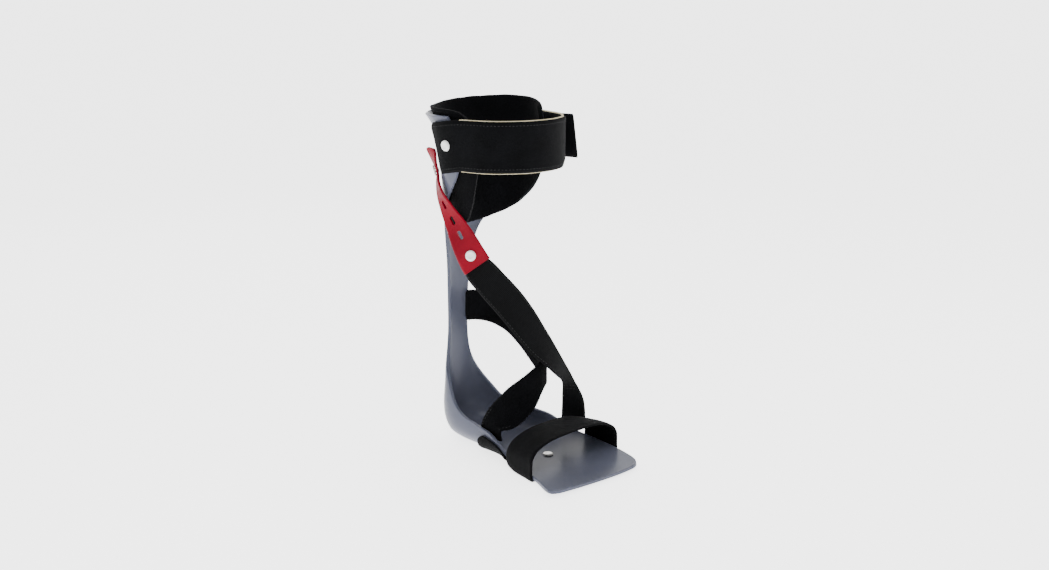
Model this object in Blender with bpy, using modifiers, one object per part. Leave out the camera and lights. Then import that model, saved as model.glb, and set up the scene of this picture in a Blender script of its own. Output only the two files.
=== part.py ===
"""Ankle foot orthosis for a left foot: moulded posterior-leaf shell, calf liner, calf strap,
tension strap with its rein, forefoot strap and ankle strap.

Lengths are millimetres in design coordinates (across, forward, up) and metres in the scene.
across is negative on the near (inner) side, forward runs from the heel to the toes, up from the
floor. The toes point to -Y and the origin is the bottom centre of the object's box.
"""
import math
from collections import namedtuple

import bmesh
import bpy
import numpy as np
from mathutils import Matrix, Vector

MM = 0.001
HEEL_TO_ORIGIN = 86.0            # forward distance from the heel's inside to the origin
GAP = 0.30                       # clearance between touching pieces

SHELL_THICKNESS = 2.8
SHELL_STEPS = 2                  # rows of faces between two sections
SHELL_HALF_COLUMNS = 10
LINER_THICKNESS = 4.5
STRAP_THICKNESS = 2.4
WEB_THICKNESS = 1.8

RIVET_RADIUS = 4.4
RIVET_HEIGHT = 2.0

# One cross-section of the shell's inside. The wall leaves the middle line at (forward, up) and
# rises through (reach_forward, reach_up) to where it stands upright, half a width away.
# skew moves the far side forward for every unit of distance across.
Section = namedtuple(
    "Section", "forward up reach_forward reach_up near far turn_near turn_far power skew",
    defaults=(0.0,))

SHELL_SECTIONS = (
    Section(-12.5, 292.0, 50.0, 0.0, 50.0, 50.0, 98, 112, 2.0),
    Section(-4.0, 283.0, 46.0, 0.0, 47.5, 47.5, 98, 114, 2.0),
    Section(1.5, 274.0, 43.5, 0.0, 46.0, 46.0, 98, 116, 2.0),
    Section(4.5, 260.0, 42.0, 0.0, 44.5, 44.5, 98, 118, 2.0),
    Section(5.5, 244.0, 40.0, 0.0, 43.5, 43.5, 96, 114, 2.0),
    Section(5.5, 230.0, 37.5, 0.0, 40.5, 41.0, 84, 96, 2.0),
    Section(5.0, 216.0, 31.5, 0.0, 36.0, 37.0, 70, 78, 2.0),
    Section(4.0, 204.0, 21.5, 0.0, 29.5, 30.5, 64, 68, 2.0),
    Section(3.0, 190.0, 10.0, 0.0, 21.5, 21.5, 66, 68, 2.0),
    Section(2.0, 174.0, 5.0, 0.0, 16.0, 16.0, 72, 72, 2.0),
    Section(1.5, 155.0, 3.0, 0.0, 12.8, 12.5, 75, 75, 2.0),
    Section(1.0, 125.0, 2.0, 0.0, 11.4, 10.8, 75, 75, 2.0),
    Section(1.0, 98.0, 2.0, 0.4, 11.0, 10.0, 75, 75, 2.0),
    Section(1.0, 78.0, 3.0, 1.0, 13.0, 11.0, 78, 74, 2.0),
    Section(0.5, 60.0, 7.0, 2.8, 17.5, 14.5, 84, 74, 2.0),
    Section(0.0, 44.0, 16.5, 6.5, 23.0, 19.5, 90, 76, 2.1),
    Section(0.0, 30.0, 25.0, 10.0, 27.3, 25.0, 90, 80, 2.3),
    Section(2.0, 16.0, 32.0, 15.0, 29.0, 28.5, 90, 84, 2.5),
    Section(9.0, 6.3, 36.0, 20.5, 30.0, 31.0, 90, 88, 2.7),
    Section(22.0, 3.3, 32.0, 22.5, 31.0, 32.5, 90, 90, 2.8),
    Section(40.0, 3.0, 22.0, 21.5, 32.0, 34.0, 90, 90, 3.0),
    Section(58.0, 3.6, 13.0, 20.0, 33.5, 36.0, 90, 90, 3.0),
    Section(76.0, 4.8, 7.0, 16.0, 35.0, 38.5, 90, 90, 2.9),
    Section(90.0, 4.9, 4.0, 12.5, 37.0, 42.5, 86, 86, 2.6),
    Section(101.0, 4.9, 2.0, 9.5, 40.0, 48.0, 78, 76, 2.3),
    Section(112.0, 4.9, 0.5, 6.0, 46.0, 55.0, 70, 68, 2.1),
    Section(125.0, 4.9, 0.0, 3.0, 52.5, 60.5, 64, 62, 2.0),
    Section(148.0, 4.9, 0.0, 2.0, 61.0, 57.5, 60, 60, 2.0),
    Section(164.0, 4.9, 0.0, 2.0, 69.5, 52.0, 60, 60, 2.0, 0.01),
    Section(175.0, 4.9, 0.0, 2.0, 74.5, 46.5, 60, 60, 2.0, 0.03),
    Section(181.5, 4.9, -2.0, 2.0, 74.5, 41.0, 60, 60, 2.0, 0.04),
    Section(184.5, 4.9, -3.0, 2.0, 72.0, 36.5, 60, 60, 2.0, 0.05),
    Section(186.0, 4.9, -3.0, 1.6, 67.0, 31.0, 60, 60, 2.0, 0.05),
)

# The liner's own rings: height, back (forward), reach to the widest place, half width there.
LINER_RINGS = (
    (188.0, 5.9, 33.0, 33.0), (204.0, 6.4, 34.0, 34.0), (216.0, 7.2, 35.0, 35.5),
    (230.0, 7.6, 38.0, 38.5), (244.0, 7.6, 40.0, 41.5), (260.0, 6.6, 40.5, 42.6),
    (274.0, 3.6, 42.5, 44.0), (283.0, -1.6, 45.0, 45.5), (292.0, -9.4, 47.5, 47.8),
    (304.0, -12.5, 49.5, 49.5),
)
# The liner's edge: angle from the back (near side negative), lower and upper height.
LINER_EDGE = (
    (-117, 247, 284), (-112, 220, 293), (-104, 203, 296), (-90, 198, 297), (-60, 195, 297),
    (-20, 192, 297), (15, 192, 300), (40, 195, 301), (62, 200, 302), (85, 207, 302),
    (104, 215, 301), (120, 225, 299), (132, 236, 295), (139, 247, 288),
)

STRAP_AXIS_FORWARD = 50.0        # the calf strap is measured as angles about this upright line
STRAP_LOW = 247.0
STRAP_HIGH = 290.5
STRAP_REAR_DROP = 5.0            # the riveted end sits lower, on the cuff's flare
STRAP_REAR_ANGLE = 60.0          # angles run from the back, round the near side, to the front
STRAP_HINGE_ANGLE = 106.0
STRAP_FAR_ANGLE = 268.0
STRAP_LOOP_CENTRE = (2.0, 56.0)
STRAP_LOOP_HALF_WIDTH = 49.5
STRAP_LOOP_HALF_LENGTH = 47.5
STRAP_REAR_SLANT = 13.0          # the riveted end leans forward toward its lower corner
STRAP_FRONT_RISE = 6.0           # the lower edge rises where the strap turns to the far side
LINING_THICKNESS = 1.0
FOAM_THICKNESS = 1.7
FACE_THICKNESS = 1.0
STRAP_BUILD_UP = LINING_THICKNESS + FOAM_THICKNESS + FACE_THICKNESS + 2 * GAP
PATCH_THICKNESS = 1.5
STRAP_OVER_PATCH = PATCH_THICKNESS + 2 * GAP + 0.3
CALF_RIVET_ANGLE = 84.0
CALF_RIVET_UP = 268.0

COLOURS = {
    "shell_plastic": ((0.30, 0.34, 0.40, 1.0), 0.28),
    "liner_fabric": ((0.012, 0.012, 0.014, 1.0), 0.90),
    "strap_fabric": ((0.010, 0.011, 0.013, 1.0), 0.85),
    "foam": ((0.80, 0.73, 0.50, 1.0), 0.80),
    "hook_tape": ((0.016, 0.016, 0.018, 1.0), 0.70),
    "tension_rubber": ((0.55, 0.010, 0.030, 1.0), 0.45),
    "rein_webbing": ((0.012, 0.013, 0.015, 1.0), 0.80),
    "rivet_white": ((0.85, 0.85, 0.83, 1.0), 0.35),
    "rivet_steel": ((0.70, 0.70, 0.70, 1.0), 0.25),
}


def clear_scene():
    for item in list(bpy.data.objects):
        bpy.data.objects.remove(item, do_unlink=True)


def new_collection(name):
    collection = bpy.data.collections.new(name)
    bpy.context.scene.collection.children.link(collection)
    return collection


def make_material(name):
    colour, roughness = COLOURS[name]
    material = bpy.data.materials.new(name)
    material.use_nodes = True
    shader = material.node_tree.nodes["Principled BSDF"]
    shader.inputs["Base Color"].default_value = colour
    shader.inputs["Roughness"].default_value = roughness
    shader.inputs["Metallic"].default_value = 1.0 if name == "rivet_steel" else 0.0
    return material


def place(across, forward, up):
    """Scene position of a design point."""
    return Vector((across, HEEL_TO_ORIGIN - forward, up)) * MM


def aim(across, forward, up):
    """Scene direction of a design direction, with length 1."""
    return Vector((across, -forward, up)).normalized()


def signed_power(value, exponent):
    return math.copysign(abs(value) ** exponent, value)


def smooth_step(value, low, high):
    share = min(max((value - low) / (high - low), 0.0), 1.0)
    return share * share * (3 - 2 * share)


class SmoothTable:
    """A smooth curve through rows of numbers, measured along the given knots."""

    def __init__(self, knots, rows):
        self.knots = np.array(knots, float)
        self.rows = np.array(rows, float)
        steps = np.diff(self.knots)[:, None]
        slopes = np.diff(self.rows, axis=0) / steps
        middle = (slopes[:-1] * steps[1:] + slopes[1:] * steps[:-1]) / (steps[:-1] + steps[1:])
        self.tangents = np.vstack([slopes[:1], middle, slopes[-1:]])

    def at(self, knot):
        last = len(self.knots) - 2
        i = int(np.clip(np.searchsorted(self.knots, knot) - 1, 0, last))
        span = self.knots[i + 1] - self.knots[i]
        t = (knot - self.knots[i]) / span
        a, b = self.rows[i], self.rows[i + 1]
        ta, tb = self.tangents[i] * span, self.tangents[i + 1] * span
        return (a * (2 * t ** 3 - 3 * t ** 2 + 1) + ta * (t ** 3 - 2 * t ** 2 + t)
                + b * (3 * t ** 2 - 2 * t ** 3) + tb * (t ** 3 - t ** 2))


def section_table():
    """Shell sections against the distance run down the middle line."""
    middle = np.array([(s.forward, s.up) for s in SHELL_SECTIONS])
    steps = np.linalg.norm(np.diff(middle, axis=0), axis=1)
    return SmoothTable(np.concatenate([[0.0], np.cumsum(steps)]), SHELL_SECTIONS)


SHELL = section_table()
SHELL_RUN = SHELL.knots[-1]


def run_at_height(up):
    """Distance down the middle line at a height above the heel."""
    low, high = 0.0, SHELL.knots[14]
    for _ in range(40):
        middle = (low + high) / 2
        if SHELL.at(middle)[1] > up:
            low = middle
        else:
            high = middle
    return (low + high) / 2


def run_at_forward(forward):
    """Distance down the middle line at a place on the sole."""
    low, high = SHELL.knots[17], SHELL_RUN
    for _ in range(40):
        middle = (low + high) / 2
        if SHELL.at(middle)[0] < forward:
            low = middle
        else:
            high = middle
    return (low + high) / 2


def shell_inside(run, angle):
    """Point of the shell's inside: run down the middle line, angle from it in degrees."""
    section = Section(*SHELL.at(run))
    turn = math.radians(angle)
    half = section.near if angle < 0 else section.far
    exponent = 2.0 / section.power
    across = half * signed_power(math.sin(turn), exponent)
    depth = 1.0 - signed_power(math.cos(turn), exponent)
    forward = section.forward + section.reach_forward * depth + section.skew * across
    return np.array([across, forward, section.up + section.reach_up * depth])


def shell_offset(run, angle, outward):
    """Point at a distance outside the shell's inside surface."""
    along = shell_inside(run + 0.5, angle) - shell_inside(run - 0.5, angle)
    around = shell_inside(run, angle + 0.8) - shell_inside(run, angle - 0.8)
    normal = np.cross(along, around)
    normal /= np.linalg.norm(normal)
    if np.dot(normal, shell_inside(run, angle) - shell_centre(run)) < 0:
        normal = -normal
    return shell_inside(run, angle) + normal * outward


def shell_centre(run):
    """A point well inside the hollow of the section."""
    section = Section(*SHELL.at(run))
    reach = np.array([0.0, section.reach_forward, section.reach_up])
    return np.array([0.0, section.forward, section.up]) + reach + inward(run) * 20.0


def inward(run):
    """Direction into the hollow at the middle line."""
    before, after = SHELL.at(run - 0.5), SHELL.at(run + 0.5)
    direction = np.array([0.0, before[1] - after[1], after[0] - before[0]])
    return direction / np.linalg.norm(direction)


def grid_object(name, rows, collection, material, cyclic=False):
    """Open quad surface through rows of design points."""
    mesh = bmesh.new()
    verts = [[mesh.verts.new(place(*point)) for point in row] for row in rows]
    columns = len(rows[0])
    spans = columns if cyclic else columns - 1
    for r in range(len(rows) - 1):
        for c in range(spans):
            d = (c + 1) % columns
            mesh.faces.new((verts[r][c], verts[r][d], verts[r + 1][d], verts[r + 1][c]))
    data = bpy.data.meshes.new(name)
    mesh.to_mesh(data)
    mesh.free()
    data.materials.append(material)
    item = bpy.data.objects.new(name, data)
    collection.objects.link(item)
    data.shade_smooth()
    data.set_sharp_from_angle(angle=math.radians(50))
    return item


def thicken(item, thickness, side):
    """Solidify: side 1 grows along the surface normal, -1 against it, 0 both ways."""
    solid = item.modifiers.new("thickness", "SOLIDIFY")
    solid.thickness = thickness * MM
    solid.offset = side
    solid.use_even_offset = True
    solid.use_quality_normals = True
    return solid


def round_edges(item, width, segments=2):
    bevel = item.modifiers.new("rounded_edges", "BEVEL")
    bevel.width = width * MM
    bevel.segments = segments
    bevel.limit_method = "ANGLE"
    bevel.angle_limit = math.radians(60)
    bevel.use_clamp_overlap = True
    return bevel


def sheet_between(name, inner_rows, outer_rows, collection, material):
    """Closed sheet between two matching grids of points."""
    mesh = bmesh.new()
    inner = [[mesh.verts.new(place(*point)) for point in row] for row in inner_rows]
    outer = [[mesh.verts.new(place(*point)) for point in row] for row in outer_rows]
    count, columns = len(inner), len(inner[0])
    for r in range(count - 1):
        for c in range(columns - 1):
            mesh.faces.new((inner[r][c], inner[r][c + 1], inner[r + 1][c + 1], inner[r + 1][c]))
            mesh.faces.new((outer[r][c], outer[r + 1][c], outer[r + 1][c + 1], outer[r][c + 1]))
        for c, flip in ((0, False), (columns - 1, True)):
            side = [inner[r][c], inner[r + 1][c], outer[r + 1][c], outer[r][c]]
            mesh.faces.new(side[::-1] if flip else side)
    for c in range(columns - 1):
        for r, flip in ((0, True), (count - 1, False)):
            side = [inner[r][c], inner[r][c + 1], outer[r][c + 1], outer[r][c]]
            mesh.faces.new(side[::-1] if flip else side)
    bmesh.ops.recalc_face_normals(mesh, faces=mesh.faces)
    data = bpy.data.meshes.new(name)
    mesh.to_mesh(data)
    mesh.free()
    data.materials.append(material)
    item = bpy.data.objects.new(name, data)
    collection.objects.link(item)
    data.shade_smooth()
    data.set_sharp_from_angle(angle=math.radians(50))
    return item


def build_shell(collection, material):
    """The moulded shell: one lofted surface, thickened outward."""
    runs = [start + (stop - start) * step / SHELL_STEPS
            for start, stop in zip(SHELL.knots[:-1], SHELL.knots[1:])
            for step in range(SHELL_STEPS)]
    rows = []
    for run in runs + [SHELL_RUN]:
        section = Section(*SHELL.at(run))
        near = [-section.turn_near * c / SHELL_HALF_COLUMNS
                for c in range(SHELL_HALF_COLUMNS, 0, -1)]
        far = [section.turn_far * c / SHELL_HALF_COLUMNS
               for c in range(0, SHELL_HALF_COLUMNS + 1)]
        rows.append([shell_inside(run, angle) for angle in near + far])
    shell = grid_object("shell", rows, collection, material)
    thicken(shell, SHELL_THICKNESS, 1)
    round_edges(shell, 0.9)
    return shell


LINER = SmoothTable([ring[0] for ring in LINER_RINGS], [ring[1:] for ring in LINER_RINGS])
LINER_LIMITS = SmoothTable([edge[0] for edge in LINER_EDGE], [edge[1:] for edge in LINER_EDGE])


def liner_point(up, angle, inset):
    back, reach, half = LINER.at(up)
    turn = math.radians(angle)
    return np.array([(half - inset) * math.sin(turn),
                     back + reach - (reach - inset) * math.cos(turn), up])


def build_liner(collection, material):
    """Foam-and-fabric liner: a cone-shaped wrap inside the cuff with two lower flaps."""
    columns, levels = 34, 9
    first, last = LINER_EDGE[0][0], LINER_EDGE[-1][0]
    outer, inner = [], []
    for level in range(levels + 1):
        share = level / levels
        outer_row, inner_row = [], []
        for c in range(columns + 1):
            angle = first + (last - first) * c / columns
            low, high = LINER_LIMITS.at(angle)
            up = low + (high - low) * share
            outer_row.append(liner_point(up, angle, 0.0))
            inner_row.append(liner_point(up, angle, LINER_THICKNESS))
        outer.append(outer_row)
        inner.append(inner_row)
    liner = sheet_between("calf_liner", inner, outer, collection, material)
    round_edges(liner, 1.2, 1)
    return liner


def ray_to_ellipse(angle, centre, half_width, half_length):
    """Distance from the strap's upright axis to an ellipse, at an angle from the back."""
    turn = math.radians(angle)
    ray = (-math.sin(turn) / half_width, -math.cos(turn) / half_length)
    start = (-centre[0] / half_width, (STRAP_AXIS_FORWARD - centre[1]) / half_length)
    square = ray[0] ** 2 + ray[1] ** 2
    linear = ray[0] * start[0] + ray[1] * start[1]
    constant = start[0] ** 2 + start[1] ** 2 - 1
    return (-linear + math.sqrt(linear ** 2 - square * constant)) / square


def cuff_radius(angle, up):
    """Distance from the strap's upright axis to the shell's inside at a height."""
    section = Section(*SHELL.at(run_at_height(up)))
    centre = (0.0, section.forward + section.reach_forward)
    return ray_to_ellipse(angle, centre, section.near, section.reach_forward)


def cuff_ring_radius(angle, up, outward):
    """Distance from the strap's upright axis to a ring set outward along the cuff's normal."""
    flare = (cuff_radius(angle, up + 2.0) - cuff_radius(angle, up - 2.0)) / 4.0
    return cuff_radius(angle, up) + outward * math.sqrt(1 + flare ** 2)


def strap_point(angle, up, outward):
    """Point of the calf strap at a distance outside its inside face."""
    over_cuff = cuff_ring_radius(angle, up, SHELL_THICKNESS + 2 * GAP)
    over_patch = cuff_ring_radius(angle, up, SHELL_THICKNESS + STRAP_OVER_PATCH)
    free = ray_to_ellipse(angle, STRAP_LOOP_CENTRE, STRAP_LOOP_HALF_WIDTH,
                          STRAP_LOOP_HALF_LENGTH)
    near_share = smooth_step(angle, 92.0, 128.0)
    far_share = smooth_step(angle, 232.0, 266.0)
    radius = over_cuff + (free - over_cuff) * near_share
    radius = radius + (over_patch - radius) * far_share + outward
    turn = math.radians(angle)
    return np.array([-radius * math.sin(turn),
                     STRAP_AXIS_FORWARD - radius * math.cos(turn), up])


def strap_levels(angle):
    """Lower and upper edge of the calf strap."""
    drop = STRAP_REAR_DROP * (1 - smooth_step(angle, STRAP_REAR_ANGLE, 104.0))
    rise = STRAP_FRONT_RISE * smooth_step(angle, 206.0, 232.0)
    return STRAP_LOW - drop + rise, STRAP_HIGH - drop


def strap_rear(share):
    """Angle of the riveted end at a share of the strap's height; its corners are round."""
    corner = 4.0 * max(0.0, (share - 0.85) / 0.15) ** 2
    return STRAP_REAR_ANGLE + STRAP_REAR_SLANT * (1 - share) ** 1.6 + corner


def strap_layer(name, first, last, inside, thickness, columns, collection, material):
    """One layer of the strap; first(share) is the angle where it starts at a height share."""
    inner, outer = [], []
    levels = 6
    for level in range(levels + 1):
        share = level / levels
        start = first(share)
        inner_row, outer_row = [], []
        for c in range(columns + 1):
            angle = start + (last - start) * c / columns
            low, high = strap_levels(angle)
            up = low + (high - low) * share
            inner_row.append(strap_point(angle, up, inside))
            outer_row.append(strap_point(angle, up, inside + thickness))
        inner.append(inner_row)
        outer.append(outer_row)
    return sheet_between(name, inner, outer, collection, material)


def build_calf_strap(collection, fabric, foam):
    """The strap: one riveted root and three bonded layers that open at the near side."""
    degree = 180.0 / (math.pi * 54.0)
    root = strap_layer("calf_strap_root", strap_rear, STRAP_HINGE_ANGLE - 0.4 * degree,
                       0.0, STRAP_BUILD_UP, 10, collection, fabric)
    round_edges(root, 0.8, 1)
    start = STRAP_HINGE_ANGLE + 0.8 * degree
    layers = (("calf_strap_lining", 0.0, LINING_THICKNESS, fabric),
              ("calf_strap_foam", LINING_THICKNESS + GAP, FOAM_THICKNESS, foam),
              ("calf_strap_face", LINING_THICKNESS + FOAM_THICKNESS + 2 * GAP,
               FACE_THICKNESS, fabric))
    for name, inside, thickness, material in layers:
        strap_layer(name, lambda share: start, STRAP_FAR_ANGLE, inside, thickness, 26,
                    collection, material)


def shell_patch(name, runs, angles, outward, thickness, collection, material):
    """Sheet that follows the shell between two runs; angles(run) gives its two sides."""
    rows_inner, rows_outer = [], []
    for run in runs:
        first, last = angles(run)
        inner, outer = [], []
        for c in range(11):
            angle = first + (last - first) * c / 10
            inner.append(shell_offset(run, angle, outward))
            outer.append(shell_offset(run, angle, outward + thickness))
        rows_inner.append(inner)
        rows_outer.append(outer)
    return sheet_between(name, rows_inner, rows_outer, collection, material)


def build_hook_patch(collection, material):
    """Hook-and-loop patch on the cuff's far side, under the strap's free end."""
    runs = np.linspace(run_at_height(283.0), run_at_height(253.0), 6)
    shell_patch("hook_patch", runs, lambda run: (72.0, 102.0),
                SHELL_THICKNESS + GAP, PATCH_THICKNESS, collection, material)


def ribbon_surface(stations, count, columns):
    """Rows of points across a strap that runs through the stations.

    A station is (centre, direction across, width); the strap's surface is flat across.
    """
    centres = np.array([station[0] for station in stations], float)
    steps = np.linalg.norm(np.diff(centres, axis=0), axis=1)
    knots = np.concatenate([[0.0], np.cumsum(steps)])
    rows = [np.concatenate([s[0], np.array(s[1]) / np.linalg.norm(s[1]), [s[2]]])
            for s in stations]
    table = SmoothTable(knots, rows)
    result = []
    for i in range(count + 1):
        run = knots[-1] * i / count
        value = table.at(run)
        across = value[3:6] / np.linalg.norm(value[3:6])
        half = value[6] / 2
        result.append([value[:3] + across * half * (2 * c / columns - 1)
                       for c in range(columns + 1)])
    return result


def round_end(rows, length, least):
    """Draw the strap's corners in over a length, so that its end is rounded."""
    result = [list(row) for row in rows]
    first = (rows[0][0] + rows[0][-1]) / 2
    for index, row in enumerate(rows):
        middle = (row[0] + row[-1]) / 2
        distance = np.linalg.norm(middle - first)
        if distance >= length:
            break
        share = math.sqrt(max(1 - (1 - distance / length) ** 2, 0.0))
        keep = least + (1 - least) * share
        result[index] = [middle + (point - middle) * keep for point in row]
    return result


def ribbon(name, stations, count, columns, thickness, collection, material):
    item = grid_object(name, ribbon_surface(stations, count, columns), collection, material)
    thicken(item, thickness, 0)
    return item


TENSION_STATIONS = (
    ((-35.9, 6.3, 261.0), (-0.44, 0.90, 0.0), 14.5),
    ((-35.5, 10.1, 250.5), (-0.58, 0.81, 0.02), 15.0),
    ((-35.8, 14.8, 241.0), (-0.66, 0.75, 0.05), 16.5),
    ((-39.4, 19.2, 233.5), (-0.58, 0.81, 0.08), 17.5),
    ((-41.9, 24.6, 225.0), (-0.42, 0.88, 0.15), 17.5),
    ((-41.0, 31.5, 213.0), (-0.06, 0.95, 0.30), 17.0),
    ((-38.8, 38.5, 201.0), (0.28, 0.81, 0.47), 19.0),
    ((-36.0, 47.8, 184.5), (0.50, 0.67, 0.55), 23.5),
    ((-33.9, 54.5, 173.0), (0.52, 0.64, 0.56), 25.5),
    ((-32.0, 59.5, 165.0), (0.57, 0.59, 0.57), 26.0),
)
REIN_STATIONS = (
    ((-33.3, 46.8, 178.5), (0.454, 0.682, 0.572), 13.0),
    ((-31.5, 50.9, 172.0), (0.454, 0.682, 0.572), 17.0),
    ((-28.7, 57.6, 162.5), (0.52, 0.62, 0.58), 25.5),
    ((-23.5, 68.5, 150.0), (0.64, 0.46, 0.60), 27.0),
    ((-14.8, 81.0, 133.5), (0.71, 0.28, 0.65), 28.0),
    ((-6.7, 91.2, 117.0), (0.74, 0.10, 0.66), 28.0),
    ((1.6, 99.0, 101.0), (0.76, -0.08, 0.64), 27.0),
    ((10.6, 105.1, 87.0), (0.86, -0.22, 0.40), 24.0),
    ((20.3, 109.5, 72.4), (0.93, -0.26, 0.10), 20.5),
    ((28.4, 108.9, 63.0), (0.95, 0.02, -0.12), 15.5),
    ((34.6, 106.8, 55.0), (0.86, 0.44, -0.20), 15.5),
    ((38.6, 105.2, 47.0), (0.76, 0.63, -0.12), 18.0),
)
BRANCH_STATIONS = (
    ((38.9, 105.1, 46.1), (0.75, 0.64, -0.11), 18.2),
    ((40.9, 104.3, 40.0), (0.71, 0.69, -0.02), 19.5),
    ((41.8, 103.9, 33.0), (0.70, 0.68, 0.06), 20.5),
    ((41.9, 104.0, 24.9), (0.70, 0.64, 0.14), 21.5),
)
INSTEP_FAR_STATIONS = (
    ((6.4, 4.0, 115.0), (0.0, 0.0, 1.0), 28.0),
    ((14.5, 7.0, 114.5), (0.0, 0.05, 1.0), 28.0),
    ((27.0, 17.0, 111.0), (0.0, 0.15, 1.0), 28.0),
    ((35.0, 30.0, 103.5), (0.0, 0.35, 1.0), 28.0),
    ((37.0, 46.0, 92.5), (0.0, 0.40, 1.0), 28.0),
    ((34.5, 62.0, 81.5), (0.0, 0.35, 1.0), 27.0),
    ((29.0, 76.0, 73.5), (0.0, 0.15, 1.0), 26.0),
    ((21.0, 86.0, 69.0), (0.0, 0.05, 1.0), 24.0),
    ((13.5, 87.3, 65.5), (0.0, 0.05, 1.0), 21.0),
)
INSTEP_NEAR_STATIONS = (
    ((-30.2, 74.5, 25.0), (0.0, -1.0, 0.0), 25.0),
    ((-26.5, 77.5, 30.5), (-0.08, -0.92, 0.38), 27.0),
    ((-20.0, 82.0, 37.0), (-0.20, -0.72, 0.66), 29.0),
    ((-10.0, 87.0, 46.5), (-0.28, -0.50, 0.82), 30.0),
    ((1.0, 90.5, 55.0), (-0.25, -0.30, 0.92), 28.0),
    ((12.0, 91.5, 64.0), (-0.12, -0.10, 0.98), 25.0),
    ((20.5, 90.5, 68.0), (0.0, 0.0, 1.0), 22.0),
)


def oriented(origin, normal, along):
    """Frame with Z on the normal and Y as near the given direction as it can be."""
    z = normal.normalized()
    x = along.cross(z).normalized()
    y = z.cross(x)
    frame = Matrix((x, y, z)).transposed().to_4x4()
    frame.translation = origin
    return frame


def strap_frame(stations, share, outward):
    """Frame on a strap's middle line: Z off its outer face, Y along it."""
    rows = ribbon_surface(stations, 200, 2)
    index = int(round(share * 200))
    before, after = rows[max(index - 1, 0)][1], rows[min(index + 1, 200)][1]
    along = place(*after) - place(*before)
    across = place(*rows[index][2]) - place(*rows[index][0])
    normal = along.cross(across).normalized()
    origin = place(*rows[index][1])
    outside = origin - place(0.0, 45.0, rows[index][1][2])
    outside.z = 0
    if normal.dot(outside) < 0:
        normal = -normal
    return oriented(origin + normal * outward * MM, normal, along)


def slot_cutter(name, frame, length, width, collection):
    """Oblong cutter through a strap: a box with its upright edges rounded."""
    bpy.ops.mesh.primitive_cube_add(size=1)
    cutter = bpy.context.object
    cutter.name = name
    cutter.data.transform(Matrix.Diagonal((width * MM, length * MM, 12 * MM, 1)))
    cutter.matrix_world = frame
    bevel = cutter.modifiers.new("round_ends", "BEVEL")
    bevel.width = width * MM * 0.49
    bevel.segments = 3
    bevel.affect = "EDGES"
    bevel.limit_method = "WEIGHT"
    weights = cutter.data.attributes.new("bevel_weight_edge", "FLOAT", "EDGE")
    for edge in cutter.data.edges:
        a, b = (cutter.data.vertices[i].co for i in edge.vertices)
        weights.data[edge.index].value = 1.0 if abs(a.z - b.z) > MM else 0.0
    for owner in list(cutter.users_collection):
        owner.objects.unlink(cutter)
    collection.objects.link(cutter)
    cutter.hide_render = True
    cutter.display_type = "WIRE"
    return cutter


def cut(item, cutter):
    boolean = item.modifiers.new(cutter.name, "BOOLEAN")
    boolean.operation = "DIFFERENCE"
    boolean.solver = "EXACT"
    boolean.object = cutter


BUTTON_SHARE = 0.175
SLOT_SHARES = (0.47, 0.605, 0.73)
RIVET_SHARE = 0.905
BUTTON_BAR_LENGTH = 9.0
BUTTON_BAR_WIDTH = 3.6
BUTTON_BAR_LOW = 1.6              # above the strap's middle surface


def build_tension_strap(collection, cutters, material):
    """Red strap with an end slot over the button and three spare slots."""
    rows = round_end(ribbon_surface(TENSION_STATIONS, 40, 4), 8.0, 0.45)
    strap = grid_object("tension_strap", rows, collection, material)
    thicken(strap, STRAP_THICKNESS, 0)
    frame = strap_frame(TENSION_STATIONS, BUTTON_SHARE, 0.0)
    cut(strap, slot_cutter("button_slot", frame, 13.5, 6.2, cutters))
    for number, share in enumerate(SLOT_SHARES, 1):
        frame = strap_frame(TENSION_STATIONS, share, 0.0)
        cut(strap, slot_cutter("spare_slot_%d" % number, frame, 8.0, 3.4, cutters))
    pivot = strap_frame(TENSION_STATIONS, RIVET_SHARE, 0.0)
    strap.data.transform(pivot.inverted())
    strap.matrix_world = pivot
    return strap


def low_cylinder(name, frame, radius, height, bevel, collection, material):
    """Round head standing on the frame's plane."""
    mesh = bmesh.new()
    bmesh.ops.create_cone(mesh, cap_ends=True, segments=24, radius1=radius * MM,
                          radius2=radius * MM, depth=height * MM,
                          matrix=Matrix.Translation((0, 0, height * MM / 2)))
    data = bpy.data.meshes.new(name)
    mesh.to_mesh(data)
    mesh.free()
    data.materials.append(material)
    data.shade_smooth()
    data.set_sharp_from_angle(angle=math.radians(40))
    item = bpy.data.objects.new(name, data)
    item.matrix_world = frame
    collection.objects.link(item)
    if bevel:
        round_edges(item, bevel, 2)
    return item


def strap_normal_frame(angle, up, outward):
    """Frame on the calf strap's outside, Z pointing outward."""
    point = strap_point(angle, up, outward)
    level = strap_point(angle + 1, up, outward) - strap_point(angle - 1, up, outward)
    rise = strap_point(angle, up + 1, outward) - strap_point(angle, up - 1, outward)
    normal = aim(*level).cross(aim(*rise)).normalized()
    outside = place(*point) - place(0.0, STRAP_AXIS_FORWARD, up)
    if normal.dot(outside) < 0:
        normal = -normal
    return oriented(place(*point), normal, Vector((0, 0, 1)))


def build_calf_rivet(collection, material):
    """White rivet: head outside the strap, flange inside the cuff."""
    frame = strap_normal_frame(CALF_RIVET_ANGLE, CALF_RIVET_UP, STRAP_BUILD_UP + GAP)
    low_cylinder("calf_rivet_head", frame, RIVET_RADIUS, RIVET_HEIGHT, 0.8,
                 collection, material)
    inner = strap_normal_frame(CALF_RIVET_ANGLE, CALF_RIVET_UP, 0.0)
    drop = SHELL_THICKNESS + 3 * GAP + 1.2
    inner.translation = inner.translation - inner.to_3x3().col[2] * drop * MM
    low_cylinder("calf_rivet_flange", inner, 4.0, 0.7, 0, collection, material)


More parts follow.
